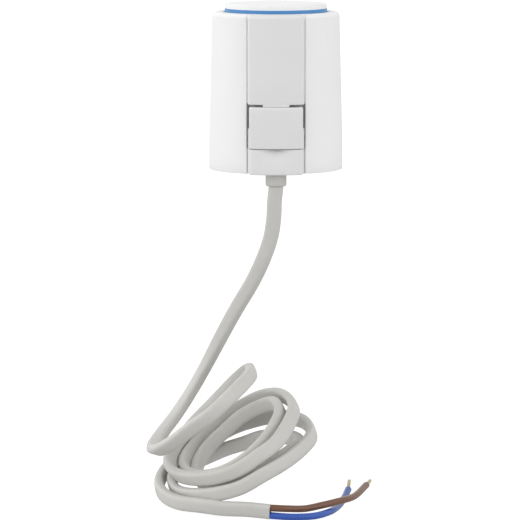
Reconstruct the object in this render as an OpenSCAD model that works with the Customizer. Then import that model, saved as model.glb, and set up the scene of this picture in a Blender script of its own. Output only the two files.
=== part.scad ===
// Electrothermal valve actuator, normally closed, with a clip-on valve socket,
// a raised function indicator, a release button and a flat two-core lead.
// Z is the valve axis and points up, -Y is the front, where the button is.
// The origin is the centre of the valve socket's mouth, on the bottom face.
// Units are millimetres.

/* [Housing] */
// Outer radius at the bottom
housing_r = 22.15; // [18:0.05:28]
// Outer radius at the top, where the moulding draft ends
housing_top_r = 21.1; // [16:0.05:28]
// Height from the bottom face to the top face
housing_h = 52.2; // [40:0.1:70]
// Wall thickness
housing_wall = 1.6; // [1.0:0.1:3.0]
// Rounding of the top edge
top_round = 1.3; // [0.5:0.1:3.0]
// Radius of the hole that the indicator stands in
indicator_hole_r = 17.3; // [12:0.1:19]

/* [Front column] */
// Half of the column's width
column_half = 9.1; // [6:0.1:12]
// Radius of its outer face at the bottom
column_r = 26.25; // [24:0.05:30]
// Radius of its outer face at the top
column_top_r = 25.0; // [23:0.05:30]
// Wall thickness
column_wall = 1.5; // [1.0:0.1:2.5]
// Height of the lower edge of the button's window
window_low = 8.4; // [6:0.05:12]
// Height of the upper edge of the button's window
window_high = 23.05; // [18:0.1:28]

/* [Release button] */
// Half of the button's width
button_half = 8.8; // [6:0.1:11]
// Height of the lower edge
button_low = 8.6; // [7:0.1:12]
// Height of the upper edge
button_high = 22.25; // [16:0.1:26]
// Travel when it is pressed
button_travel = 1.6; // [0.5:0.1:3.0]

/* [Valve socket] */
// Bore radius
socket_r = 15.0; // [12:0.1:17]
// Bore depth
socket_h = 6.0; // [4:0.1:10]
// Wall around the bore
socket_wall = 1.6; // [1.0:0.1:3.0]
// Radius of the hole in the latch ring
latch_hole_r = 15.2; // [13:0.1:17]

/* [Drive] */
// Travel of the indicator and of the plunger
lift_travel = 4.0; // [2:0.5:6]
// Radius of the plunger's foot
plunger_r = 5.0; // [3:0.1:7]
// Height of the plunger's foot above the bottom face when open
plunger_z = 7.5; // [6:0.1:9]
// Mean radius of the main spring
spring_r = 13.0; // [11:0.1:14]
// Wire radius of the main spring
spring_wire_r = 1.0; // [0.5:0.05:1.5]
// Turns of the main spring
spring_turns = 5.5; // [3:0.5:9]

/* [Indicator] */
// Radius of the blue ring
ring_r = 16.95; // [12:0.05:18]
// Radius of the white cap
cap_r = 16.9; // [12:0.05:18]
// Height of the cap's top when open
cap_top = 55.3; // [53:0.1:60]
// Height of the cap's rim
cap_rim_h = 2.0; // [1.0:0.1:3.0]

/* [Lead] */
// Width of the flat sheath
sheath_w = 4.9; // [4:0.1:8]
// Thickness of the flat sheath
sheath_t = 3.3; // [2.5:0.1:5]
// Outer diameter of a core
core_d = 2.3; // [1.5:0.1:3.0]
// Diameter of a core's bare strands
strand_d = 1.3; // [0.8:0.1:2.0]

/* [Hidden] */
$fn = 96;

gland_y = -20.5;
floor_t = 1.8;
web_front = -17.6;
web_back = -16.4;
deck_z = 9;
deck_t = 2;
plate_z = 44;
flange_z = 21.5;
flange_t = 2;
heater_z = 14.8;
wax_z = 16.4;
latch_z = 6.5;
latch_h = 2;
latch_spring_x = 5.4;
latch_spring_z = 16;

// The sheath's middle line, from its end inside the front column, down through
// the gland, to the loops and the straight tail. The loops lean up to the right.
sheath_route = [
    [0, -20.5, 10], [0, -20.5, 3], [0, -20.5, -4], [-0.5, -20.5, -9], [-0.7, -20, -14],
    [-1.6, -19, -20.5], [-4, -17, -28], [-7.5, -13, -36], [-13.2, -6, -46.5],
    [-18.4, 2, -57], [-23.4, 10.5, -67.6], [-28.5, 14.5, -77.1], [-33.6, 14, -84.9],
    [-38.5, 9, -90.8], [-40.8, 0.5, -93.8], [-39, -9, -93.3], [-34, -16.3, -89.6],
    [-27.3, -20.8, -83.8], [-21.5, -21.8, -79.6], [-16.2, -19.2, -75],
    [-11.2, -12.8, -70.9], [-8.2, -3.2, -68.6], [-9, 6.5, -68.7], [-12.5, 14, -72.4],
    [-16.8, 18.5, -77.2], [-21.6, 21, -82.5], [-26.8, 21, -88], [-31.2, 18.5, -93],
    [-35, 11.3, -98], [-35, 1, -101], [-32, -9, -102], [-26, -18, -101.5],
    [-19, -23, -100], [-12, -25.5, -97], [-6, -25, -93], [-0.5, -21.5, -89.5],
    [3.5, -15, -85], [6, -5.5, -80.5], [4.5, 4.5, -78.5], [0.5, 13, -78],
    [-5, 18, -79.5], [-11, 22, -83], [-17, 23.5, -87], [-23, 22, -91.5],
    [-27.5, 17, -96], [-30.5, 8, -100], [-29.5, -2, -102], [-25, -12, -102],
    [-19, -18, -100], [-13, -20.5, -96.8], [-7, -19.5, -92.4], [-2.5, -15, -88],
    [1, -8.5, -83], [1.2, -0.5, -80.5], [-1.2, 7, -80], [-5.8, 13, -82.3],
    [-11.5, 17, -86], [-17, 18, -91], [-22, 16, -95.5], [-25.5, 11.5, -99.8],
    [-26.5, 3, -103], [-24.5, -6.5, -105], [-19, -14.5, -105], [-12.5, -19.5, -102.5],
    [-6, -20.5, -99], [0.5, -18, -95.5], [5.5, -12, -93], [8.5, -3, -92.5],
    [6.5, 7, -92], [1, 14, -92.5], [-5, 19, -93.5], [-11, 21.5, -96], [-17, 22, -98],
    [-23.5, 20, -100.5], [-29.5, 15.5, -102.5], [-34, 8, -104.5], [-34.5, -1, -106.2],
    [-32, -11, -107.5], [-26, -19, -107], [-19, -24, -105.5], [-11.5, -26.5, -103],
    [-4.5, -26.5, -99], [2.5, -22.5, -95.5], [8.5, -15, -92], [12, -4.5, -89],
    [10, 6, -86.5], [5, 14, -86], [-1, 20, -86.5], [-7.5, 24, -88.5], [-14, 26, -91],
    [-20.5, 26, -94.5], [-27, 24, -98], [-33, 19, -101], [-37.5, 10, -104],
    [-39, 0, -106.5], [-37, -10, -108.5], [-32, -18, -109.5], [-25, -23.5, -109.5],
    [-17.5, -26.5, -110], [-9.5, -28.5, -110], [-2, -30, -110.5],
];

// How far the sheath's wide side leans from upright towards -X, in degrees, by
// the number of the route's point.
sheath_lay = [
    [0, 90], [9, 82], [14, 48], [18, 38], [28, 36], [36, 28], [60, 26], [68, 14],
    [78, 14], [86, 20], [94, 6], [100, 0],
];

// How far the section is turned about the path as well, in degrees, by the
// number of the route's point: the lead twists as it hangs.
sheath_turn = [
    [0, 0], [2.5, 0], [5, 18], [8, 45], [10, 66], [11, 66], [13, 50], [15, 22],
    [18, 14], [20, 8], [22, 22], [25, 58], [27, 45], [28, 25], [30, 0], [96, 0],
    [98, 12], [100, 12],
];
// No lean or turn at any point of a path
no_angle = [[0, 0], [1, 0]];

brown_route = [
    [-2, -30, -109.25], [3.5, -30, -109.5], [9.5, -27, -110], [15, -23.5, -109.5],
    [21, -18, -109], [26, -9, -109], [30.5, 5, -107.5],
];
brown_tip = [32, 11.5, -107];
blue_route = [
    [-2, -30, -111.75], [5, -31.5, -112], [12, -30, -112], [17.5, -22, -112],
    [21, -9, -112], [23, 0, -111], [24.5, 8, -109.5],
];
blue_tip = [25, 15, -107.5];

function unit(v) = v / norm(v);
function heading(path, i) =
    unit(path[min(i + 1, len(path) - 1)] - path[max(i - 1, 0)]);
function wide_side(along, lay, turn) =
    let (up = [-sin(lay), 0, cos(lay)], wide = unit(up - (up * along) * along))
    wide * cos(turn) + cross(along, wide) * sin(turn);
function section_ring(at, along, wide, w, t, sides) =
    [for (k = [0:sides - 1])
        at + wide * w / 2 * cos(360 * k / sides)
           + cross(along, wide) * t / 2 * sin(360 * k / sides)];

// One closed tube along a path, with an oval section of width w and thickness t.
module tube(path, lay, turn, w, t, sides) {
    last = len(path) - 1;
    points = [
        for (i = [0:last])
            let (
                along = heading(path, i),
                wide = wide_side(along, lookup(i, lay), lookup(i, turn))
            )
            each section_ring(path[i], along, wide, w, t, sides)
    ];
    side_faces = [
        for (i = [0:last - 1], k = [0:sides - 1])
            let (a = i * sides + k, b = i * sides + (k + 1) % sides)
            each [[a, a + sides, b + sides], [a, b + sides, b]]
    ];
    start_face = [for (k = [0:sides - 1]) k];
    end_face = [for (k = [sides - 1:-1:0]) last * sides + k];
    polyhedron(points = points, faces = concat([start_face, end_face], side_faces));
}

module ring(outer, inner, low, high) {
    translate([0, 0, low])
        difference() {
            cylinder(r = outer, h = high - low);
            translate([0, 0, -1]) cylinder(r = inner, h = high - low + 2);
        }
}

module box(x0, x1, y0, y1, z0, z1) {
    translate([x0, y0, z0]) cube([x1 - x0, y1 - y0, z1 - z0]);
}

// A helical spring whose end turns lie flat, swept as one tube.
module helix(mean_r, wire_r, low, high, turns, steps, sides) {
    rise = high - low - 2 * wire_r;
    count = turns * steps;
    path = [
        for (i = [0:count])
            [mean_r * cos(360 * i / steps), mean_r * sin(360 * i / steps),
             low + wire_r + rise * min(max((i / steps - 0.75) / (turns - 1.5), 0), 1)]
    ];
    tube(path, no_angle, no_angle, 2 * wire_r, 2 * wire_r, sides);
}

function body_r(z) = housing_r + (housing_top_r - housing_r) * max(z - 9, 0) / 42;

module body_solid(inset, top) {
    rotate_extrude()
        polygon([
            [0, 0],
            [body_r(0) - inset, 0],
            [body_r(9) - inset, 9],
            [body_r(top - top_round) - inset, top - top_round],
            for (a = [15:15:75])
                [body_r(top) - inset - top_round * (1 - cos(a)),
                 top - top_round * (1 - sin(a))],
            [body_r(top) - inset - top_round, top],
            [0, top],
        ]);
}

module housing() color("white") {
    difference() {
        body_solid(0, housing_h);
        translate([0, 0, -0.01]) body_solid(housing_wall, housing_h - 2);
        translate([0, 0, 40]) cylinder(r = indicator_hole_r, h = 20);
        box(-column_half - 0.35, column_half + 0.35, -30, -16.2, -1, housing_h - 1.2);
        box(-column_half - 0.1, column_half + 0.1, -30, -19.0, -1, housing_h + 1);
    }
}

// The column's outline in plan at one height: a bow in front with rounded corners,
// square behind, drawn anticlockwise from the back left.
function column_outline(half, r, back, corner) =
    let (
        cx = half - corner,
        cy = -sqrt((r - corner) * (r - corner) - cx * cx),
        turn = atan2(cy, cx)
    )
    concat(
        [[-half, back]],
        [for (k = [0:5]) let (a = 180 - turn * k / 6) [-cx + corner * cos(a), cy + corner * sin(a)]],
        [for (k = [0:14]) let (a = 180 - turn + (2 * turn + 180) * k / 14) r * [cos(a), sin(a)]],
        [for (k = [5:-1:0]) let (a = turn * k / 6) [cx + corner * cos(a), cy + corner * sin(a)]],
        [[half, back]]
    );

// A closed solid through outlines that have the same number of points, each at
// its own height.
module loft(outlines, heights) {
    sides = len(outlines[0]);
    last = len(outlines) - 1;
    points = [for (i = [0:last]) each [for (q = outlines[i]) [q[0], q[1], heights[i]]]];
    side_faces = [
        for (i = [0:last - 1], k = [0:sides - 1])
            let (a = i * sides + k, b = i * sides + (k + 1) % sides)
            each [[a, a + sides, b + sides], [a, b + sides, b]]
    ];
    start_face = [for (k = [0:sides - 1]) k];
    end_face = [for (k = [sides - 1:-1:0]) last * sides + k];
    polyhedron(points = points, faces = concat([start_face, end_face], side_faces));
}

// The column between two heights. Its radius narrows a little to the top, and
// edge_round rounds its top edge.
module column_solid(inset, low, high, corner, edge_round) {
    rows = [
        [low, 0], [high - edge_round, 0],
        for (a = [30:30:90]) [high - edge_round * (1 - sin(a)), edge_round * (1 - cos(a))],
    ];
    loft(
        [for (s = rows)
            let (r = column_r + (column_top_r - column_r) * s[0] / housing_h)
            column_outline(column_half - inset - s[1], r - inset - s[1], -14, corner)],
        [for (s = rows) s[0]]
    );
}

module front_cover() color("gainsboro") {
    difference() {
        union() {
            column_solid(0, window_high, housing_h, 0.9, top_round);
            column_solid(0.6, 0, window_low, 1.4, 0.3);
        }
        column_solid(column_wall, -1, housing_h - 1.8, 0.4, 0.1);
        box(-15, 15, web_back, 5, -1, 60);
        box(-12, 12, web_front, 0, -1, 12);
        box(-12, 12, -19.1, 0, 46.3, 60);
    }
    difference() {
        intersection() {
            union() {
                box(-11.4, 11.4, web_front, web_back, 11.5, 46.3);
                difference() {
                    ring(18.5, 17.5, 45.5, 49.1);
                    box(-20, 20, -14, 20, 40, 60);
                }
            }
            body_solid(housing_wall + 0.1, 51);
            box(-11.4, 11.4, -30, 0, 0, 60);
        }
        box(-7, 7, web_front - 1, 0, 26.5, 30);
    }
    intersection() {
        column_solid(0.5, window_high - 0.65, housing_h - 3, 0.9, 0.1);
        box(-4.35, 4.35, -30, -24.2, window_high - 1, window_high + 1);
    }
    difference() {
        column_solid(1, 0, floor_t, 0.9, 0.1);
        box(-15, 15, web_front + 0.4, 5, -1, 60);
        translate([0, gland_y, -1]) scale([3.5, 2.75, 1]) cylinder(r = 1, h = 4);
    }
    for (side = [-1, 1])
        box(side * 8.3 - 0.7, side * 8.3 + 0.7, -19.4, -17.25, 1, 12.5);
}

module base_plate() color("whitesmoke") {
    difference() {
        union() {
            ring(20.45, socket_r, 0, 2);
            ring(socket_r + socket_wall, socket_r, 1, socket_h);
            ring(20.45, 19.4, 1, deck_z + 1);
            ring(20.45, 12, deck_z, deck_z + deck_t);
        }
        box(-9.4, 9.4, -30, -17.0, -1, 20);
    }
}

module base_seal() color("dimgray") {
    difference() {
        ring(20.4, 19.4, deck_z + deck_t, deck_z + deck_t + 1);
        box(-12, 12, -30, -15, 10, 20);
    }
}

module indicator_seal() color("dimgray") {
    ring(18.6, 17.35, 49.2, 50.1);
}

module chassis() color("silver") {
    difference() {
        union() {
            for (side = [-1, 1])
                box(side * 17.3 - 1.3, side * 17.3 + 1.3, -5, 5, deck_z + deck_t, plate_z + 2.5);
            translate([0, 0, plate_z]) cylinder(r = 17, h = 2.5);
        }
        translate([0, 0, plate_z - 1]) cylinder(r = 4.2, h = 5);
        box(-18, 18, -20, web_back + 0.3, plate_z - 1, plate_z + 4);
        box(-17.6, 17.6, -3.55, 3.55, 11.45, 13.55);
        for (y = [-12, 12])
            translate([0, y, plate_z - 1]) cylinder(r = 2.2, h = 5);
    }
}

module bridge() color("lightsteelblue") {
    difference() {
        box(-17.5, 17.5, -3.5, 3.5, 11.5, 13.5);
        for (x = [-13, 13])
            translate([x, 0, 11]) cylinder(r = 1.5, h = 3);
    }
}

module insulating_cup() color("khaki") {
    difference() {
        translate([0, 0, 13.5]) cylinder(r = 8, h = 3.5);
        translate([0, 0, 14.4]) cylinder(r = 6.7, h = 4);
        box(-9, 9, -1.4, 1.4, 14.4, 18);
    }
}

module ptc_heater() color("dimgray") {
    translate([0, 0, heater_z]) cylinder(r = 5.5, h = 1.2);
}

// A round contact plate with a tab to one side.
module contact(low, side) color("goldenrod") {
    translate([0, 0, low]) {
        cylinder(r = 6, h = 0.4);
        translate([side > 0 ? 5 : -11, -1.2, 0]) cube([6, 2.4, 0.4]);
    }
}

module lower_contact() contact(14.4, -1);
module upper_contact() contact(16.0, 1);

module wax_cylinder() color("darkkhaki") {
    difference() {
        union() {
            translate([0, 0, wax_z]) cylinder(r = 6.4, h = 28 - wax_z);
            translate([0, 0, 27]) cylinder(r = 8, h = 1.4);
        }
        translate([0, 0, wax_z + 1.2]) cylinder(r = 5.2, h = 20);
    }
}

module wax_diaphragm() color("dimgray") {
    difference() {
        translate([0, 0, 28.4]) cylinder(r = 7.8, h = 0.8);
        translate([0, 0, 28]) cylinder(r = 2.2, h = 2);
    }
}

module wax_guide() color("gold") {
    difference() {
        union() {
            translate([0, 0, 29.2]) cylinder(r = 8, h = 1.2);
            translate([0, 0, 29.2]) cylinder(r = 4.5, h = 4.8);
        }
        translate([0, 0, 28]) cylinder(r = 2.2, h = 8);
    }
}

module wax_piston() color("silver") {
    translate([0, 0, 23]) cylinder(r = 1.8, h = 17);
}

module connector_plug() color("white") {
    difference() {
        box(-6.5, 6.5, -22, web_front, 25, 35);
        for (x = [-3, 3]) {
            box(x - 1.9, x + 1.9, -21.4, -18.6, 24, 31);
            box(x - 1.3, x + 1.3, -20.9, -16, 26.6, 29.4);
        }
    }
}

module crimp_contacts() color("gold") {
    for (x = [-3, 3]) {
        box(x - 1.2, x + 1.2, -20.6, -19.4, 25.6, 30.8);
        box(x - 0.8, x + 0.8, -20, -17.8, 27.4, 28.6);
    }
}

// The lead from a contact plate, round the spring, to the plug. side is -1 or 1.
module inner_lead(side, tab_z) {
    path = [
        [side * 9.6, 0, tab_z], [side * 11, -0.5, tab_z], [side * 13.4, -3, 14.9],
        [side * 13.6, -7, 14.3], [side * 13, -11, 14.2], [side * 11, -13.4, 16],
        [side * 9.6, -14.3, 20], [side * 8, -15.2, 24], [side * 5, -15.8, 27],
        [side * 3.4, -16.6, 28], [side * 3, -17.8, 28],
    ];
    tube(path, no_angle, no_angle, 1.3, 1.3, 10);
}

module left_lead() color("firebrick") inner_lead(-1, 14.8 + 0.65);
module right_lead() color("firebrick") inner_lead(1, 16 - 0.65);

// A core from the sheath's end to its crimp.
module inner_core(side) {
    path = [
        [side * 1.3, gland_y, 10], [side * 1.4, gland_y, 15], [side * 1.6, -20.3, 19],
        [side * 2.4, -20, 22.5], [side * 3, -20, 25.6],
    ];
    tube(path, [[0, 90], [1, 90]], no_angle, core_d, core_d, 10);
}

module left_core() color("saddlebrown") inner_core(-1);
module right_core() color("royalblue") inner_core(1);

function oval(a, b, sides) =
    [for (k = [0:sides - 1]) [a * cos(360 * k / sides), gland_y + b * sin(360 * k / sides)]];

module cable_gland() color("gainsboro") {
    rows = [
        [2.95, 2.2, -4], [3.3, 2.55, -3.6], [3.45, 2.7, -3], [3.45, 2.7, 1.85],
        [4.1, 3.3, 1.86], [4.1, 3.3, 3.2], [3.4, 2.5, 3.21], [3.3, 2.4, 6],
    ];
    difference() {
        loft([for (q = rows) oval(q[0], q[1], 36)], [for (q = rows) q[2]]);
        loft([for (z = [-5, 7]) oval(sheath_w / 2, sheath_t / 2, 36)], [-5, 7]);
    }
}

module release_button() color("gainsboro") {
    r = column_r - 0.15;
    rows = [
        [button_low, 0.5], [button_low + 0.15, 0.15], [button_low + 0.5, 0],
        [button_high - 0.6, 0], [button_high - 0.2, 0.2], [button_high, 0.6],
    ];
    difference() {
        loft(
            [for (s = rows) column_outline(button_half - s[1], r - s[1], -21.4, 0.8)],
            [for (s = rows) s[0]]
        );
        intersection() {
            cylinder(r = r - 1.8, h = button_high - 1.5);
            box(-7.4, 7.4, -30, -15, 0, 30);
        }
        box(-4.2, 4.2, -23.6, -15, button_high - 3, 30);
    }
    for (side = [-1, 1]) {
        box(side * 8.85 - 0.3, side * 8.85 + 0.3, -23.6, -21.5, button_low + 0.1, 15.2);
        box(side * 6 - 1.2, side * 6 + 1.2, -21.7, -20, button_low + 0.1, 12);
        box(side * 6 - 1.2, side * 6 + 1.2, -23.8, -20, 11, 12);
        translate([side * latch_spring_x, -24.2, latch_spring_z])
            rotate([-90, 0, 0])
                cylinder(r = 0.8, h = 2.4, $fn = 24);
    }
}

module latch_slide() color("whitesmoke") {
    difference() {
        union() {
            translate([0, -1, latch_z]) cylinder(r = 17.6, h = latch_h);
            for (side = [-1, 1])
                box(side * 6 - 1.2, side * 6 + 1.2, -22.6, -15.5, latch_z, latch_z + latch_h);
        }
        translate([0, -1, latch_z - 1]) cylinder(r = latch_hole_r, h = 4);
        translate([0, -1.5, latch_z - 1]) cylinder(r = latch_hole_r, h = 4);
    }
    for (side = [-1, 1]) {
        box(side * 6 - 1.2, side * 6 + 1.2, -22.6, -21.75, latch_z + 1, 10.2);
        box(side * 6 - 1.2, side * 6 + 1.2, -19.95, -19.0, latch_z + 1, 10.2);
    }
}

// A release spring, lying along Y between the column's web and the button.
module latch_spring(side) color("silver") {
    translate([side * latch_spring_x, web_front, latch_spring_z])
        rotate([90, 0, 0])
            helix(1.3, 0.2, 0, 5.65, 6, 12, 6);
}

module left_latch_spring() latch_spring(-1);
module right_latch_spring() latch_spring(1);

module lift_yoke() color("whitesmoke") {
    difference() {
        union() {
            ring(11, 9.5, flange_z, 42);
            translate([0, 0, 40]) cylinder(r = 11, h = 2);
            ring(15.5, 9.5, flange_z, flange_z + flange_t);
            box(-4, 4, -10.6, 10.6, 9, 11);
            for (side = [-1, 1])
                box(-4, 4, side * 9.6 - 1, side * 9.6 + 1, 9, flange_z + 1);
            translate([0, 0, 41]) cylinder(r = 3.5, h = 9.9);
            translate([0, 0, 50.8]) cylinder(r = 6, h = cap_top - cap_rim_h - 50.8);
        }
        for (a = [0, 180])
            rotate([0, 0, a]) box(9, 12, -3, 3, 24, 36);
        translate([0, 0, 8]) cylinder(r = 1.6, h = 4);
    }
}

module plunger() color("lightgray") {
    rotate_extrude()
        polygon([
            [0, plunger_z],
            [1.5, plunger_z],
            [plunger_r - 1.0, plunger_z + 0.35],
            [plunger_r, plunger_z + 0.9],
            [plunger_r, 9],
            [1.5, 9],
            [1.5, 11.1],
            [0, 11.1],
        ]);
}

module main_spring() color("silver") {
    helix(spring_r, spring_wire_r, flange_z + flange_t, plate_z, spring_turns, 24, 8);
}

module indicator_ring() color("steelblue") {
    difference() {
        rotate_extrude()
            polygon([
                [14.5, 50.9],
                [ring_r - 0.3, 50.9],
                [ring_r, 51.2],
                [ring_r, cap_top - cap_rim_h - 0.3],
                [ring_r - 0.15, cap_top - cap_rim_h],
                [14.5, cap_top - cap_rim_h],
            ]);
    }
}

module indicator_cap() color("whitesmoke") {
    edge = 0.6;
    rotate_extrude()
        polygon([
            [0, cap_top - cap_rim_h],
            [cap_r, cap_top - cap_rim_h],
            for (a = [0:15:75])
                [cap_r - edge * (1 - cos(a)), cap_top - 0.35 - edge * (1 - sin(a))],
            [cap_r * 0.75, cap_top - 0.2],
            [cap_r * 0.45, cap_top - 0.05],
            [0, cap_top],
        ]);
}

module cable_sheath() color("lightgray") {
    tube(sheath_route, sheath_lay, sheath_turn, sheath_w, sheath_t, 12);
}

module brown_core() color("saddlebrown") {
    tube(brown_route, no_angle, no_angle, core_d, core_d, 12);
}

module blue_core() color("royalblue") {
    tube(blue_route, no_angle, no_angle, core_d, core_d, 12);
}

// The bare end of a core, which goes on in the direction of its last stretch.
module strands(route, tip) color("tan") {
    from = route[len(route) - 1];
    tube([from, (from + tip) / 2, tip], no_angle, no_angle, strand_d, strand_d, 10);
}

module brown_strands() strands(brown_route, brown_tip);
module blue_strands() strands(blue_route, blue_tip);

housing();
front_cover();
base_plate();
base_seal();
indicator_seal();
chassis();
bridge();
insulating_cup();
ptc_heater();
lower_contact();
upper_contact();
wax_cylinder();
wax_diaphragm();
wax_guide();
connector_plug();
crimp_contacts();
left_lead();
right_lead();
left_core();
right_core();
cable_gland();
release_button();
latch_slide();
left_latch_spring();
right_latch_spring();
lift_yoke();
plunger();
wax_piston();
main_spring();
indicator_ring();
indicator_cap();
cable_sheath();
brown_core();
blue_core();
brown_strands();
blue_strands();
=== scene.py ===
"""Electrothermal valve actuator: the detailed pieces, materials, light and camera.

Everything is in metres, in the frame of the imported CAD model: Z is the valve axis,
-Y is the front with the release button, and the origin is the mouth of the socket.
"""

import math

import bpy
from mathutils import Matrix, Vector


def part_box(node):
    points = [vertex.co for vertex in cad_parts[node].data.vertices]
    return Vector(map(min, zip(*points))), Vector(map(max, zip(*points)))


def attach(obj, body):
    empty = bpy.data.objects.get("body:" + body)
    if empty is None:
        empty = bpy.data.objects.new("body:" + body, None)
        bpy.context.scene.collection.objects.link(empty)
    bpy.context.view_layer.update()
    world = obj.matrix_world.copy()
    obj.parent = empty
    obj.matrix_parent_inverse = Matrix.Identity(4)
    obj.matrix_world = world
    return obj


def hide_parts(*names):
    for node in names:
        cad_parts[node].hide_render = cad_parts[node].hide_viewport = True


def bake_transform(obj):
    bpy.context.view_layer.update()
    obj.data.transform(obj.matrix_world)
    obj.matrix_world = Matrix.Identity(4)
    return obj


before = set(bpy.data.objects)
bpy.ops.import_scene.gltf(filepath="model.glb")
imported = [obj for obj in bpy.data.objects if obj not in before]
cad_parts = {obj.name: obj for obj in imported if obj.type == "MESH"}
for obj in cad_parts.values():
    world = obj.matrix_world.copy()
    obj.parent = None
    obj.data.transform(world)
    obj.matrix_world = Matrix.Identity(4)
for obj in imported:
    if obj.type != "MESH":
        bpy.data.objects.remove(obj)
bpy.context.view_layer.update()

MM = 0.001
ROOT = "actuator"

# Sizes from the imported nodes' boxes.
_, housing_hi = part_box("housing")
ring_lo, ring_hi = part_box("indicator_ring")
cap_lo, cap_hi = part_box("indicator_cap")
sheath_lo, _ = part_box("cable_sheath")
HOUSING_R = housing_hi.x
HOUSING_H = housing_hi.z
FLOOR_Z = sheath_lo.z


# ---------------------------------------------------------------- mesh helpers


def make_object(name, verts, faces, material, smooth_angle=32):
    """A mesh object, smooth but for edges sharper than smooth_angle degrees."""
    mesh = bpy.data.meshes.new(name)
    mesh.from_pydata([tuple(v) for v in verts], [], faces)
    mesh.validate()
    for polygon in mesh.polygons:
        polygon.use_smooth = True
    mesh.set_sharp_from_angle(angle=math.radians(smooth_angle))
    mesh.materials.append(material)
    obj = bpy.data.objects.new(name, mesh)
    bpy.context.scene.collection.objects.link(obj)
    return obj


def add_piece(name, shape, material, body, node, smooth_angle=32):
    """A piece that stands for a CAD node and rides on its body."""
    obj = make_object(name, shape[0], shape[1], material, smooth_angle)
    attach(obj, body)
    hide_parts(node)
    return obj


def joined(*shapes):
    """Several shapes, each (verts, faces), as one."""
    verts, faces = [], []
    for v, f in shapes:
        base = len(verts)
        verts += v
        faces += [[base + i for i in face] for face in f]
    return verts, faces


def loft(rows, closed=False):
    """Skin through closed outlines with equal counts. closed joins last to first."""
    n = len(rows[0])
    verts = [Vector(p) for row in rows for p in row]
    faces = []
    pairs = [(i, i + 1) for i in range(len(rows) - 1)]
    if closed:
        pairs.append((len(rows) - 1, 0))
    for i, j in pairs:
        for k in range(n):
            m = (k + 1) % n
            faces.append([i * n + k, i * n + m, j * n + m, j * n + k])
    if not closed:
        faces.append(list(range(n))[::-1])
        faces.append([(len(rows) - 1) * n + k for k in range(n)])
    return verts, faces


def lathe(profile, segments=192):
    """Turns a closed profile of (r, z) about Z."""
    turns = [2 * math.pi * k / segments for k in range(segments)]
    rows = [[(r * math.cos(a), r * math.sin(a), z) for a in turns] for r, z in profile]
    return loft(rows, closed=True)


def arc(cx, cy, radius, start, end, count):
    """Points on an arc, angles in degrees."""
    points = []
    for k in range(count + 1):
        a = math.radians(start + (end - start) * k / count)
        points.append((cx + radius * math.cos(a), cy + radius * math.sin(a)))
    return points


def at_height(points, z):
    """A flat outline of (x, y) raised to z."""
    return [(x, y, z) for x, y in points]


def bevelled_box(x0, x1, y0, y1, z0, z1, edge):
    """A box with all edges chamfered, as a loft of eight-sided outlines."""

    def outline(inset, z):
        left, right, front, back = x0 + inset, x1 - inset, y0 + inset, y1 - inset
        return [
            (left + edge, front, z),
            (right - edge, front, z),
            (right, front + edge, z),
            (right, back - edge, z),
            (right - edge, back, z),
            (left + edge, back, z),
            (left, back - edge, z),
            (left, front + edge, z),
        ]

    heights = ((z0, edge), (z0 + edge, 0), (z1 - edge, 0), (z1, edge))
    return loft([outline(inset, z) for z, inset in heights])


def lower_edge(low, radius, steps=4):
    """Heights and insets up a rounded lower edge."""
    rows = []
    for k in range(steps + 1):
        a = math.radians(90 * k / steps)
        rows.append((low + radius * (1 - math.cos(a)), radius * (1 - math.sin(a))))
    return rows


def upper_edge(high, radius, steps=4):
    """Heights and insets up a rounded upper edge."""
    rows = []
    for k in range(steps + 1):
        a = math.radians(90 * k / steps)
        rows.append((high - radius * (1 - math.sin(a)), radius * (1 - math.cos(a))))
    return rows


# ---------------------------------------------------------------- materials

# The part of 0..1 that a noise factor mostly keeps to.
NOISE_LOW = 0.3
NOISE_HIGH = 0.7


def new_material(name):
    material = bpy.data.materials.new(name)
    material.use_nodes = True
    tree = material.node_tree
    return material, tree, tree.nodes["Principled BSDF"]


def object_coords(tree):
    return tree.nodes.new("ShaderNodeTexCoord").outputs["Object"]


def noise(tree, coords, scale, detail, rough):
    node = tree.nodes.new("ShaderNodeTexNoise")
    node.inputs["Scale"].default_value = scale
    node.inputs["Detail"].default_value = detail
    node.inputs["Roughness"].default_value = rough
    tree.links.new(coords, node.inputs["Vector"])
    return node.outputs["Fac"]


def between(tree, factor, low, high):
    """Maps a noise factor onto low..high."""
    node = tree.nodes.new("ShaderNodeMapRange")
    node.inputs["From Min"].default_value = NOISE_LOW
    node.inputs["From Max"].default_value = NOISE_HIGH
    node.inputs["To Min"].default_value = low
    node.inputs["To Max"].default_value = high
    tree.links.new(factor, node.inputs["Value"])
    return node.outputs["Result"]


def mixed(tree, factor, a, b):
    """Colour that goes from a to b with the factor."""
    node = tree.nodes.new("ShaderNodeMix")
    node.data_type = "RGBA"
    tree.links.new(factor, node.inputs["Factor"])
    node.inputs["A"].default_value = (*a, 1)
    node.inputs["B"].default_value = (*b, 1)
    return node.outputs["Result"]


def bump(tree, shader, height, distance, strength):
    node = tree.nodes.new("ShaderNodeBump")
    node.inputs["Strength"].default_value = strength
    node.inputs["Distance"].default_value = distance
    tree.links.new(height, node.inputs["Height"])
    tree.links.new(node.outputs["Normal"], shader.inputs["Normal"])


def scaled(colour, factor):
    return tuple(min(1.0, c * factor) for c in colour)


def tint(tree, shader, factor, colour, spread):
    """A base colour that wanders by the spread to either side."""
    wandering = mixed(tree, factor, scaled(colour, 1 - spread), scaled(colour, 1 + spread))
    tree.links.new(wandering, shader.inputs["Base Color"])


def polish(tree, shader, factor, low, high):
    """A roughness that wanders from low to high."""
    tree.links.new(between(tree, factor, low, high), shader.inputs["Roughness"])


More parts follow.
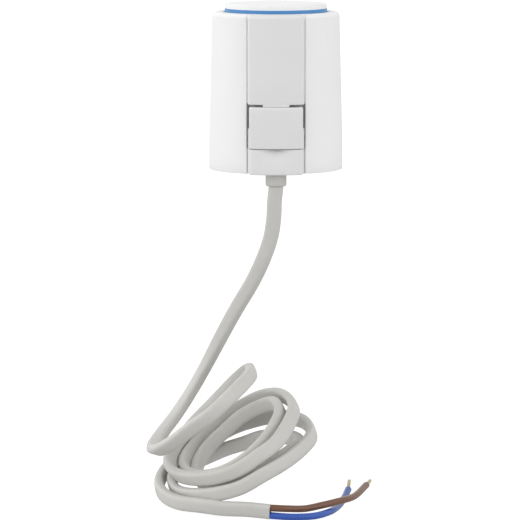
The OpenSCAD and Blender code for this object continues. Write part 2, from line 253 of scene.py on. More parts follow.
def moulded(name, colour, rough=0.45, grain=0.012, spread=0.02, specular=0.45):
    """Moulded plastic: faint mottling, spark-eroded fine grain, uneven sheen."""
    material, tree, shader = new_material(name)
    coords = object_coords(tree)
    mottle = noise(tree, coords, scale=90, detail=4, rough=0.6)
    patches = noise(tree, coords, scale=260, detail=3, rough=0.5)
    sparks = noise(tree, coords, scale=3200, detail=2, rough=0.6)
    tint(tree, shader, mottle, colour, spread)
    polish(tree, shader, patches, rough - 0.05, rough + 0.05)
    bump(tree, shader, sparks, distance=grain * MM, strength=0.6)
    shader.inputs["Specular IOR Level"].default_value = specular
    return material


def extruded(name, colour, rough=0.42, spread=0.05):
    """Extruded PVC: slow changes of colour, faint waves and a soft gloss."""
    material, tree, shader = new_material(name)
    coords = object_coords(tree)
    drift = noise(tree, coords, scale=140, detail=3, rough=0.55)
    patches = noise(tree, coords, scale=420, detail=3, rough=0.6)
    waves = noise(tree, coords, scale=700, detail=4, rough=0.65)
    tint(tree, shader, drift, colour, spread)
    polish(tree, shader, patches, rough - 0.06, rough + 0.08)
    bump(tree, shader, waves, distance=0.04 * MM, strength=0.5)
    shader.inputs["Specular IOR Level"].default_value = 0.45
    return material


def metal(name, colour, rough=0.3, scale=900):
    """Worked metal: uneven reflectance with fine marks, finer for a larger scale."""
    material, tree, shader = new_material(name)
    coords = object_coords(tree)
    stain = noise(tree, coords, scale=180, detail=4, rough=0.6)
    patches = noise(tree, coords, scale=scale, detail=3, rough=0.6)
    marks = noise(tree, coords, scale=scale * 2.2, detail=3, rough=0.6)
    tint(tree, shader, stain, colour, spread=0.12)
    polish(tree, shader, patches, rough - 0.08, rough + 0.12)
    bump(tree, shader, marks, distance=0.02 * MM, strength=0.5)
    shader.inputs["Metallic"].default_value = 1.0
    return material


WHITE = moulded("housing_satin_white", (0.875, 0.875, 0.875), rough=0.5, specular=0.3)
# The cover and the button are the housing's white painted greyer: painted shade for their faces
# turned to the dimmer front of the light tent.
COVER_WITH_PAINTED_SHADE = moulded("cover_white_painted_shade", (0.76, 0.76, 0.765), rough=0.48, specular=0.3)
CAP = moulded("cap_satin_white", (0.88, 0.88, 0.885), rough=0.45, specular=0.35)
BLUE = moulded("indicator_blue", (0.07, 0.26, 0.56), rough=0.33, spread=0.06)
NATURAL = moulded("natural_polyamide", (0.66, 0.65, 0.61), rough=0.5, spread=0.05)
GLAND = moulded("gland_soft_grey", (0.57, 0.56, 0.53), rough=0.48, spread=0.03)
SHEATH = extruded("lead_pvc_grey", (0.575, 0.567, 0.54))
BROWN = extruded("core_brown_pvc", (0.17, 0.08, 0.045), rough=0.22, spread=0.1)
CORE_BLUE = extruded("core_blue_pvc", (0.03, 0.095, 0.42), rough=0.22, spread=0.1)
STRAND = metal("bare_strands_metal", (0.62, 0.56, 0.36), rough=0.33, scale=2600)
SPRING = metal("spring_wire_steel", (0.55, 0.55, 0.56), rough=0.28, scale=2000)
STEEL = metal("stamped_steel", (0.60, 0.60, 0.61), rough=0.32)
BRASS = metal("turned_brass", (0.78, 0.58, 0.28), rough=0.28)
RUBBER = moulded("seal_rubber", (0.035, 0.035, 0.037), rough=0.7, spread=0.25, grain=0.03)
AMBER = moulded("amber_insulator", (0.52, 0.36, 0.15), rough=0.4, spread=0.08)
CERAMIC = moulded("heater_ceramic", (0.16, 0.16, 0.165), rough=0.75, spread=0.15, grain=0.04)
PLUNGER = moulded("plunger_grey", (0.36, 0.36, 0.37), rough=0.4, spread=0.05)
LEAD_RED = extruded("silicone_lead_red", (0.42, 0.045, 0.035), rough=0.5)


# ---------------------------------------------------------------- camera

CAMERA_PITCH = 6.55
CAMERA_DISTANCE = 1.45
CAMERA_TARGET = Vector((-5.25, 0, -30.7)) * MM
CAMERA_LENS = 301.15


def add_camera():
    data = bpy.data.cameras.new("camera")
    data.lens = CAMERA_LENS
    data.sensor_width = 36
    data.clip_start, data.clip_end = 0.1, 50
    obj = bpy.data.objects.new("camera", data)
    bpy.context.scene.collection.objects.link(obj)
    pitch = math.radians(CAMERA_PITCH)
    forward = Vector((0, math.cos(pitch), -math.sin(pitch)))
    obj.location = CAMERA_TARGET - forward * CAMERA_DISTANCE
    obj.rotation_mode = "QUATERNION"
    obj.rotation_quaternion = forward.to_track_quat("-Z", "Y")
    bpy.context.scene.camera = obj


add_camera()


# ---------------------------------------------------------------- the lead

SHEATH_W = 4.9 * MM
SHEATH_T = 3.3 * MM
CORE_D = 2.3 * MM
STRAND_D = 1.3 * MM
SHEATH_SQUARENESS = 3.2
GLAND_Y = -20.5 * MM

# The middle line of the flat sheath, point by point as in the CAD, in millimetres.
SHEATH_ROUTE = [
    (0, -20.5, 10), (0, -20.5, 3), (0, -20.5, -4), (-0.5, -20.5, -9), (-0.7, -20, -14),
    (-1.6, -19, -20.5), (-4, -17, -28), (-7.5, -13, -36), (-13.2, -6, -46.5),
    (-18.4, 2, -57), (-23.4, 10.5, -67.6), (-28.5, 14.5, -77.1), (-33.6, 14, -84.9),
    (-38.5, 9, -90.8), (-40.8, 0.5, -93.8), (-39, -9, -93.3), (-34, -16.3, -89.6),
    (-27.3, -20.8, -83.8), (-21.5, -21.8, -79.6), (-16.2, -19.2, -75),
    (-11.2, -12.8, -70.9), (-8.2, -3.2, -68.6), (-9, 6.5, -68.7), (-12.5, 14, -72.4),
    (-16.8, 18.5, -77.2), (-21.6, 21, -82.5), (-26.8, 21, -88), (-31.2, 18.5, -93),
    (-35, 11.3, -98), (-35, 1, -101), (-32, -9, -102), (-26, -18, -101.5),
    (-19, -23, -100), (-12, -25.5, -97), (-6, -25, -93), (-0.5, -21.5, -89.5),
    (3.5, -15, -85), (6, -5.5, -80.5), (4.5, 4.5, -78.5), (0.5, 13, -78), (-5, 18, -79.5),
    (-11, 22, -83), (-17, 23.5, -87), (-23, 22, -91.5), (-27.5, 17, -96), (-30.5, 8, -100),
    (-29.5, -2, -102), (-25, -12, -102), (-19, -18, -100), (-13, -20.5, -96.8),
    (-7, -19.5, -92.4), (-2.5, -15, -88), (1, -8.5, -83), (1.2, -0.5, -80.5),
    (-1.2, 7, -80), (-5.8, 13, -82.3), (-11.5, 17, -86), (-17, 18, -91), (-22, 16, -95.5),
    (-25.5, 11.5, -99.8), (-26.5, 3, -103), (-24.5, -6.5, -105), (-19, -14.5, -105),
    (-12.5, -19.5, -102.5), (-6, -20.5, -99), (0.5, -18, -95.5), (5.5, -12, -93),
    (8.5, -3, -92.5), (6.5, 7, -92), (1, 14, -92.5), (-5, 19, -93.5), (-11, 21.5, -96),
    (-17, 22, -98), (-23.5, 20, -100.5), (-29.5, 15.5, -102.5), (-34, 8, -104.5),
    (-34.5, -1, -106.2), (-32, -11, -107.5), (-26, -19, -107), (-19, -24, -105.5),
    (-11.5, -26.5, -103), (-4.5, -26.5, -99), (2.5, -22.5, -95.5), (8.5, -15, -92),
    (12, -4.5, -89), (10, 6, -86.5), (5, 14, -86), (-1, 20, -86.5), (-7.5, 24, -88.5),
    (-14, 26, -91), (-20.5, 26, -94.5), (-27, 24, -98), (-33, 19, -101), (-37.5, 10, -104),
    (-39, 0, -106.5), (-37, -10, -108.5), (-32, -18, -109.5), (-25, -23.5, -109.5),
    (-17.5, -26.5, -110), (-9.5, -28.5, -110), (-2, -30, -110.5),
]  # fmt: skip

# How far the sheath's wide side leans from upright towards -X, in degrees, by the
# number of the route's point.
SHEATH_LAY = [
    (0, 90), (9, 82), (14, 48), (18, 38), (28, 36), (36, 28), (60, 26), (68, 14),
    (78, 14), (86, 20), (94, 6), (100, 0),
]  # fmt: skip

# How far it then twists round the lead's own direction, in degrees, as seen.
SHEATH_TURN = [
    (0, 0), (2.5, 0), (5, 18), (8, 45), (10, 66), (11, 66), (13, 50), (15, 22),
    (18, 14), (20, 8), (22, 22), (25, 58), (27, 45), (28, 25), (30, 0), (96, 0),
    (98, 12), (100, 12),
]  # fmt: skip

BROWN_ROUTE = [
    (-2, -30, -109.25), (3.5, -30, -109.5), (9.5, -27, -110), (15, -23.5, -109.5),
    (21, -18, -109), (26, -9, -109), (30.5, 5, -107.5),
]  # fmt: skip
BROWN_TIP = (32, 11.5, -107)
BLUE_ROUTE = [
    (-2, -30, -111.75), (5, -31.5, -112), (12, -30, -112), (17.5, -22, -112),
    (21, -9, -112), (23, 0, -111), (24.5, 8, -109.5),
]  # fmt: skip
BLUE_TIP = (25, 15, -107.5)


def in_metres(route):
    return [Vector(p) * MM for p in route]


def lookup(table, key):
    """Straight-line reading of a table of (key, value)."""
    if key <= table[0][0]:
        return table[0][1]
    for (k0, v0), (k1, v1) in zip(table, table[1:]):
        if key <= k1:
            return v0 + (v1 - v0) * (key - k0) / (k1 - k0)
    return table[-1][1]


def smooth_path(points, steps):
    """A centripetal curve through the points: positions and the point numbers."""
    ends = [2 * points[0] - points[1], *points, 2 * points[-1] - points[-2]]
    path, numbers = [], []
    for i in range(1, len(ends) - 2):
        p = ends[i - 1 : i + 3]
        t = [0.0]
        for a, b in zip(p, p[1:]):
            t.append(t[-1] + math.sqrt((b - a).length))
        for k in range(steps):
            u = t[1] + (t[2] - t[1]) * k / steps
            a1 = p[0].lerp(p[1], (u - t[0]) / (t[1] - t[0]))
            a2 = p[1].lerp(p[2], (u - t[1]) / (t[2] - t[1]))
            a3 = p[2].lerp(p[3], (u - t[2]) / (t[3] - t[2]))
            b1 = a1.lerp(a2, (u - t[0]) / (t[2] - t[0]))
            b2 = a2.lerp(a3, (u - t[1]) / (t[3] - t[1]))
            path.append(b1.lerp(b2, (u - t[1]) / (t[2] - t[1])))
            numbers.append(i - 1 + k / steps)
    path.append(points[-1])
    numbers.append(len(points) - 1.0)
    return path, numbers


def headings(path):
    """The direction of the path at each of its points."""
    nexts = [*path[1:], path[-1]]
    befores = [path[0], *path[:-1]]
    return [(after - before).normalized() for before, after in zip(befores, nexts)]


def wide_side(along, lay, turn=0):
    """The direction of the section's width, as in the CAD."""
    lean, twist = math.radians(lay), math.radians(turn)
    up = Vector((-math.sin(lean), 0, math.cos(lean)))
    wide = (up - along * up.dot(along)).normalized()
    return wide * math.cos(twist) + along.cross(wide) * math.sin(twist)


def sweep(path, sides_of, section, ends=()):
    """Skin along a path. section is a list of (u, v). ends are the (where, scale,
    shift) of rows that close the tube: at which end, scaled, moved along the path."""
    along = headings(path)

    def row(i, scale=1.0, shift=0.0):
        wide = sides_of(i, along[i])
        thin = along[i].cross(wide)
        at = path[i] + along[i] * shift
        return [at + (wide * u + thin * v) * scale for u, v in section]

    starts = [row(0, s, d) for where, s, d in ends if where == "start"]
    finals = [row(len(path) - 1, s, d) for where, s, d in ends if where == "end"]
    rows = starts + [row(i) for i in range(len(path))] + finals
    return loft(rows)


def rounded_section(width, thickness, power, count):
    """A superellipse, squarer than an ellipse for a power above 2."""
    points = []
    for k in range(count):
        a = 2 * math.pi * k / count
        c, s = math.cos(a), math.sin(a)
        points.append(
            (
                width / 2 * math.copysign(abs(c) ** (2 / power), c),
                thickness / 2 * math.copysign(abs(s) ** (2 / power), s),
            )
        )
    return points


def add_sheath():
    """The flat sheath, with its cut end pressed in round the cores."""
    path, numbers = smooth_path(in_metres(SHEATH_ROUTE), 9)
    section = rounded_section(SHEATH_W, SHEATH_T, SHEATH_SQUARENESS, 40)

    def side(i, along):
        lay = lookup(SHEATH_LAY, numbers[i])
        turn = lookup(SHEATH_TURN, numbers[i])
        return wide_side(along, lay, turn)

    cut = 0.12 * MM
    ends = [
        ("start", 0.9, 0.0),
        ("end", 0.965, cut),
        ("end", 0.80, cut),
        ("end", 0.76, -0.5 * MM),
    ]
    shape = sweep(path, side, section, ends)
    obj = add_piece("lead_sheath", shape, SHEATH, ROOT, "cable_sheath", 50)


def add_core(name, route, tip, material, node, strand_node):
    """A round core that starts inside the sheath and ends in bare strands."""
    points = in_metres(route)
    hidden = 0.45 * MM
    start = points[0] + (points[0] - points[1]).normalized() * hidden
    path, _ = smooth_path([start, *points], 12)
    section = rounded_section(CORE_D, CORE_D, 2, 24)
    ends = [("end", 0.93, 0.06 * MM), ("end", 0.60, 0.06 * MM), ("end", 0.58, -0.4 * MM)]
    shape = sweep(path, lambda i, along: wide_side(along, 0), section, ends)
    core = add_piece(name, shape, material, ROOT, node, 50)
    bare = add_strands(name + "_strands", points[-1], Vector(tip) * MM, strand_node)


def add_strands(name, base, tip, node):
    """The bare end: one strand in the middle and two twisted layers round it."""
    along = (tip - base).normalized()
    wide = wide_side(along, 0)
    thin = along.cross(wide)
    length = (tip - base).length
    wire = STRAND_D / 5
    section = rounded_section(wire, wire, 2, 8)
    hidden = 0.5 * MM
    uneven = 0.035
    turns_per_mm = 0.09
    taper = 0.12
    steps = 16
    shapes = []
    for layer, count in ((0, 1), (1, 6), (2, 12)):
        for n in range(count):
            path = []
            stop = length * (1 - uneven * ((n * 5 + layer * 3) % 4))
            for k in range(steps + 1):
                s = -hidden + (stop + hidden) * k / steps
                a = 2 * math.pi * (n / count + turns_per_mm * s / MM)
                spread = layer * wire * (1 - taper * (k / steps) ** 2)
                path.append(base + along * s + (wide * math.cos(a) + thin * math.sin(a)) * spread)
            shapes.append(sweep(path, lambda i, t: wide_side(t, 20), section))
    return add_piece(name, joined(*shapes), STRAND, ROOT, node, 60)


add_sheath()
add_core(
    "brown_lead_core", BROWN_ROUTE, BROWN_TIP, BROWN, "brown_core", "brown_strands"
)
add_core(
    "blue_lead_core", BLUE_ROUTE, BLUE_TIP, CORE_BLUE, "blue_core", "blue_strands"
)


# ---------------------------------------------------------------- the housing

WALL = 1.6 * MM
TOP_R = 21.1 * MM
STRAIGHT_H = 9 * MM
DRAFT_H = 42 * MM
TOP_ROUND = 1.3 * MM
TOP_PLATE_Z = HOUSING_H - 2 * MM
SHOULDER_R = 18.6 * MM
HOLE_R = 17.3 * MM
HOLE_ROUND = 0.35 * MM
COLUMN_HALF = 9.1 * MM
GROOVE_HALF = COLUMN_HALF + 0.35 * MM
SLOT_EDGE = 0.35 * MM
COLUMN_BACK = -19.05 * MM


def housing_r(z):
    """The outer radius: straight at the bottom, drafted above."""
    return HOUSING_R + (TOP_R - HOUSING_R) * max(z - STRAIGHT_H, 0) / DRAFT_H


def open_ring(outer):
    """The housing's outer line in plan, from one rounded slot edge round to the other."""
    cx = GROOVE_HALF + SLOT_EDGE
    cy = -math.sqrt((outer - SLOT_EDGE) ** 2 - cx**2)
    turn = math.degrees(math.atan2(cy, cx))
    right = arc(cx, cy, SLOT_EDGE, 180, 360 + turn, 7)
    skin = arc(0, 0, outer, turn, 180 - turn, 170)[1:-1]
    left = [(-x, y) for x, y in reversed(right)]
    return right + skin + left


def housing_outline(z, inset=0.0):
    """The wall in plan: nearly a full ring, open in front."""
    inner = housing_r(z) - WALL
    turn = math.degrees(math.atan2(-math.sqrt(inner**2 - GROOVE_HALF**2), GROOVE_HALF))
    inside = arc(0, 0, inner, 180 - turn, turn, 90)
    return at_height(open_ring(housing_r(z) - inset) + inside, z)


def top_outline(z, inset):
    """The top ring in plan: the wall's outer line carried on, with a flat in the slot."""
    outer = housing_r(z) - inset
    front = []
    for k in range(21):
        x = GROOVE_HALF * (k / 10 - 1)
        front.append((x, max(COLUMN_BACK, -math.sqrt(outer**2 - x**2))))
    return at_height(open_ring(outer) + front, z)


def circle_of(r, z, outline):
    """A circle with a point for each point of an outline, at the same bearing, cut
    off behind the column."""
    points = []
    for x, y, _ in outline:
        a = math.atan2(y, x)
        points.append((r * math.cos(a), max(r * math.sin(a), COLUMN_BACK), z))
    return points


def housing_shape():
    """The wall with its front slot, and the top ring round the indicator's hole."""
    wall_mm = [(0, 0.35), (0.1, 0.1), (0.35, 0), (4, 0), (9, 0), (20, 0), (30, 0), (40, 0)]
    rows = [housing_outline(z * MM, inset * MM) for z, inset in wall_mm]
    rows.append(housing_outline(TOP_PLATE_Z))
    wall = loft(rows)
    middle = (TOP_PLATE_Z + HOUSING_H - TOP_ROUND) / 2
    heights = [(TOP_PLATE_Z, 0), (middle, 0), *upper_edge(HOUSING_H, TOP_ROUND, 9)]
    rows = [top_outline(z, inset) for z, inset in heights]
    rim = arc(HOLE_R + HOLE_ROUND, HOUSING_H - HOLE_ROUND, HOLE_ROUND, 90, 180, 5)
    for r, z in ((SHOULDER_R, HOUSING_H), *rim, (HOLE_R, TOP_PLATE_Z)):
        rows.append(circle_of(r, z, rows[0]))
    return joined(wall, loft(rows, closed=True))


add_piece("housing_shell", housing_shape(), WHITE, ROOT, "housing")


# ---------------------------------------------------------------- the front cover

COLUMN_R = 26.25 * MM
COLUMN_TOP_R = 25.0 * MM
COLUMN_CORNER = 1.0 * MM
COLUMN_FLARE = 0.3 * MM
COLUMN_SEAM = HOUSING_H - 1.9 * MM
COLUMN_CAP_BACK = -19.2 * MM
COVER_WALL = 1.5 * MM
WEB_FRONT, WEB_BACK = -17.6 * MM, -16.4 * MM
WINDOW_LOW, WINDOW_HIGH = 8.4 * MM, 23.05 * MM
TONGUE_HALF = 4.35 * MM
FLANK_Y = -19.3 * MM
PANEL_SET_BACK = 0.35 * MM
PANEL_HALF = COLUMN_HALF - PANEL_SET_BACK
PANEL_CORNER = 1.2 * MM
PANEL_FLOOR = 1.8 * MM


def column_r(z):
    return COLUMN_R + (COLUMN_TOP_R - COLUMN_R) * z / HOUSING_H


def bow(half, r, back, corner, flare=0.0):
    """The column in plan, from the back left round the bowed front: (x, y) points.
    Its flanks spread by the flare up to the housing's wall, to close the groove."""
    cx = half - corner
    cy = -math.sqrt((r - corner) ** 2 - cx**2)
    turn = math.degrees(math.atan2(cy, cx))
    right = arc(cx, cy, corner, turn, 0, 8)
    left = [(-x, y) for x, y in reversed(right)]
    front = arc(0, 0, r, 180 - turn - 360, turn, 28)[1:-1]
    if not flare:
        return [(-half, back), *left, *front, *right, (half, back)]
    wide = half + flare
    return [(-half, back), (-wide, FLANK_Y), *left, *front, *right, (wide, FLANK_Y), (half, back)]


def bow_wall(half, r, back, corner, wall, z, flare=0.0):
    """The outline of a wall of even thickness behind a bow."""
    outer = bow(half, r, back, corner, flare)
    inner = bow(half - wall, r - wall, back, max(corner - wall, 0.2 * MM))
    return at_height(outer + inner[::-1], z)


def column_wall(z, inset):
    half, r, wall = COLUMN_HALF - inset, column_r(z) - inset, COVER_WALL - inset
    return bow_wall(half, r, WEB_FRONT, COLUMN_CORNER, wall, z, COLUMN_FLARE)


def column_cap(z, inset):
    half, r = COLUMN_HALF - inset, column_r(z) - inset
    return at_height(bow(half, r, COLUMN_CAP_BACK, COLUMN_CORNER, COLUMN_FLARE), z)


def column_shape():
    """The upper panel: a bowed wall with a thick rounded cap and the window's lip."""
    heights = lower_edge(WINDOW_HIGH, 0.3 * MM)
    heights += [(30 * MM, 0), (36 * MM, 0), (42 * MM, 0), (COLUMN_SEAM, 0)]
    wall = loft([column_wall(z, inset) for z, inset in heights])
    heights = [(COLUMN_SEAM, 0), *upper_edge(HOUSING_H, TOP_ROUND, 8)]
    cap = loft([column_cap(z, inset) for z, inset in heights])
    return joined(wall, cap, tongue_shape())


def tongue_shape():
    """The lip in the middle of the window's upper edge, set back a little."""
    set_back, edge, thick = 0.06 * MM, 0.15 * MM, 1.0 * MM
    low, high = WINDOW_HIGH - 0.76 * MM, WINDOW_HIGH + 0.4 * MM
    rows = []
    for z, inset in ((low, edge), (low + edge, 0), (high, 0)):
        r = column_r(z) - set_back - inset
        half = TONGUE_HALF - inset
        span = math.degrees(math.asin(half / r))
        front = arc(0, 0, r, -90 - span, -90 + span, 10)
        back = arc(0, 0, r - thick, -90 + span, -90 - span, 10)
        rows.append(at_height(front + back, z))
    return loft(rows)


def scooped(point):
    """A point of the lower panel's face, moved back where a finger reaches in."""
    x, y, z = point
    depth, half, low, face = 1.9 * MM, 6.5 * MM, 1.5 * MM, 2.2 * MM
    if y > face - column_r(z):
        return point
    up = max(0, (z - low) / (WINDOW_LOW - low)) ** 2
    across = math.cos(math.pi / 2 * min(abs(x) / half, 1)) ** 2
    return (x, y + depth * up * across, z)


def panel_wall(z, inset):
    half, r = PANEL_HALF - inset, column_r(z) - PANEL_SET_BACK - inset
    flare = PANEL_SET_BACK + COLUMN_FLARE
    row = bow_wall(half, r, WEB_FRONT, PANEL_CORNER, COVER_WALL - inset, z, flare)
    return [scooped(point) for point in row]


def lower_panel_shape():
    """The panel under the window and the floor with the gland's hole."""
    heights = lower_edge(0, 0.4 * MM)
    heights += [(z * MM, 0) for z in (2, 3.5, 5, 6, 7)]
    heights += upper_edge(WINDOW_LOW, 0.15 * MM)
    wall = loft([panel_wall(z, inset) for z, inset in heights])
    inside, back = 0.8 * MM, -17.25 * MM
    low, hole_half, hole_deep = 0.02 * MM, 3.5 * MM, 2.75 * MM
    outer = bow(PANEL_HALF - inside, column_r(0) - PANEL_SET_BACK - inside, back, 0.9 * MM)
    hole = []
    for x, y in outer:
        a = math.atan2(y - GLAND_Y, x)
        hole.append((hole_half * math.cos(a), GLAND_Y + hole_deep * math.sin(a)))
    loops = ((outer, low), (outer, PANEL_FLOOR), (hole, PANEL_FLOOR), (hole, low))
    floor = loft([at_height(points, z) for points, z in loops], closed=True)
    return joined(wall, floor)


def web_shape():
    """The cover's back wall with the window for the leads, and its two posts."""
    web_half, web_low, web_high = 11.3 * MM, 11.5 * MM, 46.3 * MM
    hole_half, hole_low, hole_high = 7 * MM, 26.5 * MM, 30 * MM
    post_x, post_half, post_low, post_high = 8.3 * MM, 0.7 * MM, 1 * MM, 12.5 * MM
    post_front, post_back = -19.4 * MM, -17.25 * MM

    def oblong(half, low, high, y):
        return [(-half, y, low), (half, y, low), (half, y, high), (-half, y, high)]

    plate = loft(
        [
            oblong(web_half, web_low, web_high, WEB_FRONT),
            oblong(web_half, web_low, web_high, WEB_BACK),
            oblong(hole_half, hole_low, hole_high, WEB_BACK),
            oblong(hole_half, hole_low, hole_high, WEB_FRONT),
        ],
        closed=True,
    )
    posts = []
    for x in (-post_x, post_x):
        left, right = x - post_half, x + post_half
        posts.append(
            bevelled_box(left, right, post_front, post_back, post_low, post_high, 0.15 * MM)
        )
    return joined(plate, *posts)


add_piece("cover_column", column_shape(), COVER_WITH_PAINTED_SHADE, ROOT, "front_cover")
add_piece("cover_lower_panel", lower_panel_shape(), COVER_WITH_PAINTED_SHADE, ROOT, "front_cover")
add_piece("cover_web", web_shape(), COVER_WITH_PAINTED_SHADE, ROOT, "front_cover")


# ---------------------------------------------------------------- the release button

BUTTON_HALF = 8.8 * MM
BUTTON_LOW, BUTTON_HIGH = 8.6 * MM, 22.25 * MM
BUTTON_R = COLUMN_R - 0.15 * MM
BUTTON_CORNER = 1.0 * MM
BUTTON_WALL = 1.4 * MM
BUTTON_CAP_Z = BUTTON_HIGH - 1.5 * MM
BUTTON_BACK = -21.4 * MM
NOTCH_HALF, NOTCH_FRONT = 4.2 * MM, -23.6 * MM
RIB_X, RIB_HIGH = 8.85 * MM, 15.2 * MM
LUG_X, LUG_HIGH = 6 * MM, 12 * MM
INSIDE_LOW = 8.7 * MM
LATCH_SPRING_X, LATCH_SPRING_Z = 5.4 * MM, 16 * MM


def peg_shape(x, z, y0, y1, radius):
    """A round peg along Y with a chamfered tip."""
    tip_length, tip_inset, sides = 0.3 * MM, 0.25 * MM, 20
    rows = []
    for y, r in ((y0, radius), (y1 - tip_length, radius), (y1, radius - tip_inset)):
        turns = [2 * math.pi * k / sides for k in range(sides)]
        rows.append([(x + r * math.cos(a), y, z + r * math.sin(a)) for a in reversed(turns)])
    return loft(rows)


def button_wall(z, inset):
    half, r, wall = BUTTON_HALF - inset, BUTTON_R - inset, BUTTON_WALL - inset
    return bow_wall(half, r, BUTTON_BACK, BUTTON_CORNER, wall, z)


def button_cap(z, inset):
    """The cap in plan, with a notch at the back for the window's lip."""
    front = bow(BUTTON_HALF - inset, BUTTON_R - inset, BUTTON_BACK, BUTTON_CORNER)
    right = [(NOTCH_HALF, BUTTON_BACK), (NOTCH_HALF, NOTCH_FRONT)]
    left = [(-NOTCH_HALF, NOTCH_FRONT), (-NOTCH_HALF, BUTTON_BACK)]
    return at_height(front + right + left, z)


def button_shape():
    """The button's face and cap, with its guide ribs, lugs and spring pegs."""
    heights = [*lower_edge(BUTTON_LOW, 0.3 * MM), (BUTTON_CAP_Z, 0)]
    wall = loft([button_wall(z, inset) for z, inset in heights])
    heights = [(BUTTON_CAP_Z, 0), *upper_edge(BUTTON_HIGH, 0.7 * MM, 6)]
    cap = loft([button_cap(z, inset) for z, inset in heights])
    shapes = [wall, cap]
    for side in (-1, 1):
        left, right = side * RIB_X - 0.35 * MM, side * RIB_X + 0.35 * MM
        shapes.append(
            bevelled_box(left, right, -23.9 * MM, -21.5 * MM, INSIDE_LOW, RIB_HIGH, 0.12 * MM)
        )
        left, right = side * LUG_X - 1.2 * MM, side * LUG_X + 1.2 * MM
        shapes += [
            bevelled_box(left, right, -21.7 * MM, -20 * MM, INSIDE_LOW, LUG_HIGH, 0.15 * MM),
            bevelled_box(left, right, -24.2 * MM, -20 * MM, 11 * MM, LUG_HIGH, 0.1 * MM),
            peg_shape(side * LATCH_SPRING_X, LATCH_SPRING_Z, -24.4 * MM, -21.8 * MM, 0.8 * MM),
        ]
    return joined(*shapes)


add_piece("button_shell", button_shape(), COVER_WITH_PAINTED_SHADE, "release", "release_button")


# ---------------------------------------------------------------- the indicator


def cap_shape():
    """A white disc with a rounded edge and a very slight crown."""
    r, top, low = cap_hi.x, cap_hi.z, cap_lo.z
    edge, crown, chamfer, middle = 0.55 * MM, 0.32 * MM, 0.1 * MM, 0.01 * MM
    rim_z = top - crown
    profile = [(middle, low), (r - chamfer, low), (r, low + chamfer)]
    profile += arc(r - edge, rim_z - edge, edge, 0, 84, 8)
    for k in range(7, -1, -1):
        s = (r - edge - 0.4 * MM) * k / 7
        profile.append((max(s, middle), rim_z + crown * (1 - (s / (r - edge)) ** 2)))
    return lathe(profile)


def band_shape():
    """The blue band under the cap, with a small chamfer at either edge."""
    r, low, top = ring_hi.x, ring_lo.z, ring_hi.z
    inner, low_edge, top_edge = 14.5 * MM, 0.25 * MM, 0.12 * MM
    profile = [(inner, low), (r - low_edge, low), (r, low + low_edge)]
    profile += [(r, top - top_edge), (r - top_edge, top), (inner, top)]
    return lathe(profile)


add_piece("indicator_disc", cap_shape(), CAP, "lift", "indicator_cap", 25)
add_piece("indicator_band", band_shape(), BLUE, "lift", "indicator_ring")


# ---------------------------------------------------------------- the cable gland


def gland_oval(half_width, half_depth, z):
    points = []
    for k in range(64):
        a = 2 * math.pi * k / 64
        x, y = half_width * math.cos(a), half_depth * math.sin(a)
        points.append((x * MM, GLAND_Y + y * MM, z * MM))
    return points


def gland_shape():
    """An oval sleeve with a rounded mouth, a collar above the cover's floor and a
    slot for the flat sheath. Sizes in millimetres."""
    half_width, half_depth, mouth_z, mouth_round = 3.45, 2.7, -3.3, 0.7
    slot = [(2.5, 1.7, 6), (2.5, 1.7, -3.8), (2.56, 1.76, -4.0)]
    mouth = []
    for k in range(6, -1, -1):
        a = math.radians(90 * k / 6)
        inset = mouth_round * (1 - math.cos(a))
        drop = mouth_round * math.sin(a)
        mouth.append((half_width - inset, half_depth - inset, mouth_z - drop))
    collar = [(half_width, half_depth, 1.85), (4.1, 3.3, 1.86), (4.1, 3.3, 3.2)]
    neck = [(3.4, 2.5, 3.21), (3.3, 2.4, 6)]
    return loft([gland_oval(*row) for row in slot + mouth + collar + neck], closed=True)


add_piece("gland_sleeve", gland_shape(), GLAND, ROOT, "cable_gland", 50)


# ---------------------------------------------------------------- springs


def coil_path(mean, low, high, turns, steps):
    """A helix about Z whose end turns lie flat."""
    flat = 0.75
    path = []
    for i in range(int(turns * steps) + 1):
        a = 2 * math.pi * i / steps
        rise = min(max((i / steps - flat) / (turns - 2 * flat), 0), 1)
        path.append(Vector((mean * math.cos(a), mean * math.sin(a), low + (high - low) * rise)))
    return path


def coil_shape(path, wire_r, axis):
    """Round wire along a helix with slightly drawn-in ends."""
    section = rounded_section(2 * wire_r, 2 * wire_r, 2, 12)
    ends = [("start", 0.7, -wire_r * 0.2), ("end", 0.7, wire_r * 0.2)]

    def side(i, along):
        return (axis - along * axis.dot(along)).normalized()

    return sweep(path, side, section, ends)


def add_main_spring():
    lo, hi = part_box("main_spring")
    wire = 1.0 * MM
    path = coil_path(hi.x - wire, lo.z + wire, hi.z - wire, 5.5, 48)
    shape = coil_shape(path, wire, Vector((0, 0, 1)))
    obj = make_object("main_coil_spring", *shape, SPRING, 50)
    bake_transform(obj)
    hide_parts("main_spring")


def add_latch_spring(name, node):
    lo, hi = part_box(node)
    wire = 0.2 * MM
    centre = (lo + hi) / 2
    mean = (hi.z - lo.z) / 2 - wire
    turned = coil_path(mean, wire, hi.y - lo.y - wire, 6, 28)
    path = [Vector((centre.x + p.x, hi.y - p.z, centre.z + p.y)) for p in turned]
    shape = coil_shape(path, wire, Vector((0, -1, 0)))
    obj = make_object(name, *shape, SPRING, 50)
    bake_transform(obj)
    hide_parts(node)


add_main_spring()
add_latch_spring("left_release_spring", "left_latch_spring")
add_latch_spring("right_release_spring", "right_latch_spring")


# ---------------------------------------------------------------- CAD nodes that stay

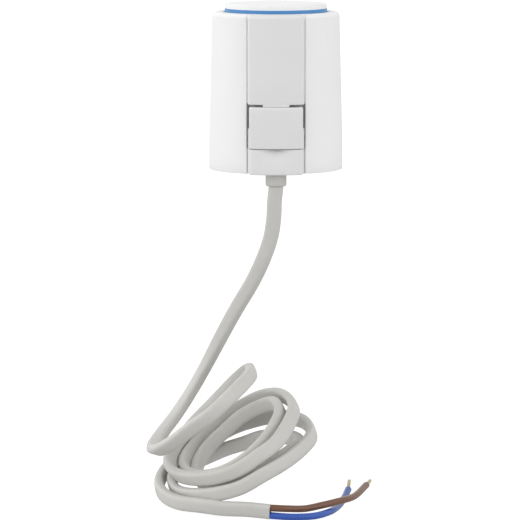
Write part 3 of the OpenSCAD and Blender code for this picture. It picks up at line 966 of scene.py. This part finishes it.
KEPT = {
    NATURAL: ["base_plate", "chassis", "latch_slide", "lift_yoke", "connector_plug"],
    RUBBER: ["base_seal", "indicator_seal", "wax_diaphragm"],
    STEEL: ["bridge", "wax_piston"],
    BRASS: ["lower_contact", "upper_contact", "wax_cylinder", "wax_guide", "crimp_contacts"],
    AMBER: ["insulating_cup"],
    CERAMIC: ["ptc_heater"],
    PLUNGER: ["plunger"],
    LEAD_RED: ["left_lead", "right_lead"],
    BROWN: ["left_core"],
    CORE_BLUE: ["right_core"],
}
for material, names in KEPT.items():
    for node_name in names:
        for material_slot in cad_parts[node_name].material_slots:
            material_slot.material = material


# ---------------------------------------------------------------- floor and light


def add_floor():
    """A white floor. It is seen brighter than it lights the object, as a backdrop is."""
    size, drop = 12, 0.25 * MM
    lights, seen = 0.38, 0.92
    z = FLOOR_Z - drop
    corners = [(-size, -size, z), (size, -size, z), (size, size, z), (-size, size, z)]
    material, tree, shader = new_material("studio_floor")
    patches = noise(tree, object_coords(tree), scale=3, detail=2, rough=0.5)
    tint(tree, shader, patches, (0.21, 0.21, 0.21), spread=0.0476)
    rays = tree.nodes.new("ShaderNodeLightPath")
    glow = tree.nodes.new("ShaderNodeMapRange")
    glow.inputs["To Min"].default_value = lights
    glow.inputs["To Max"].default_value = seen
    tree.links.new(rays.outputs["Is Camera Ray"], glow.inputs["Value"])
    tree.links.new(glow.outputs["Result"], shader.inputs["Emission Strength"])
    shader.inputs["Roughness"].default_value = 0.9
    shader.inputs["Specular IOR Level"].default_value = 0.1
    shader.inputs["Emission Color"].default_value = (1, 1, 1, 1)
    floor = make_object("studio_floor", corners, [[0, 1, 2, 3]], material)


# The light tent, as (direction, level).
LIGHTS = [
    ((-1, 0, 0), 1.90),
    ((-0.71, -0.71, 0), 0.60),
    ((0.71, -0.71, 0), 1.38),
    ((1, 0, 0), 0.70),
    ((0, 1, 0), 1.00),
    ((0, 0, 1), 0.62),
]


def add_world(lights):
    """A light tent: each light has a direction and a level, and fades round its
    direction with the square of the cosine."""
    world = bpy.data.worlds.new("studio")
    world.use_nodes = True
    tree = world.node_tree

    def calculate(operation, a, b):
        node = tree.nodes.new("ShaderNodeMath")
        node.operation = operation
        for socket, value in zip(node.inputs, (a, b)):
            if isinstance(value, (int, float)):
                socket.default_value = value
            else:
                tree.links.new(value, socket)
        return node.outputs[0]

    coords = tree.nodes.new("ShaderNodeTexCoord")
    strength = 0.0
    for direction, level in lights:
        along = tree.nodes.new("ShaderNodeVectorMath")
        along.operation = "DOT_PRODUCT"
        along.inputs[1].default_value = direction
        tree.links.new(coords.outputs["Generated"], along.inputs[0])
        facing = calculate("MAXIMUM", along.outputs["Value"], 0.0)
        glow = calculate("MULTIPLY", calculate("MULTIPLY", facing, facing), level)
        strength = calculate("ADD", glow, strength)
    background = tree.nodes["Background"]
    background.inputs["Color"].default_value = (1, 1, 1, 1)
    tree.links.new(strength, background.inputs["Strength"])
    bpy.context.scene.world = world


add_floor()
add_world(LIGHTS)
bpy.context.scene.view_settings.view_transform = "Standard"
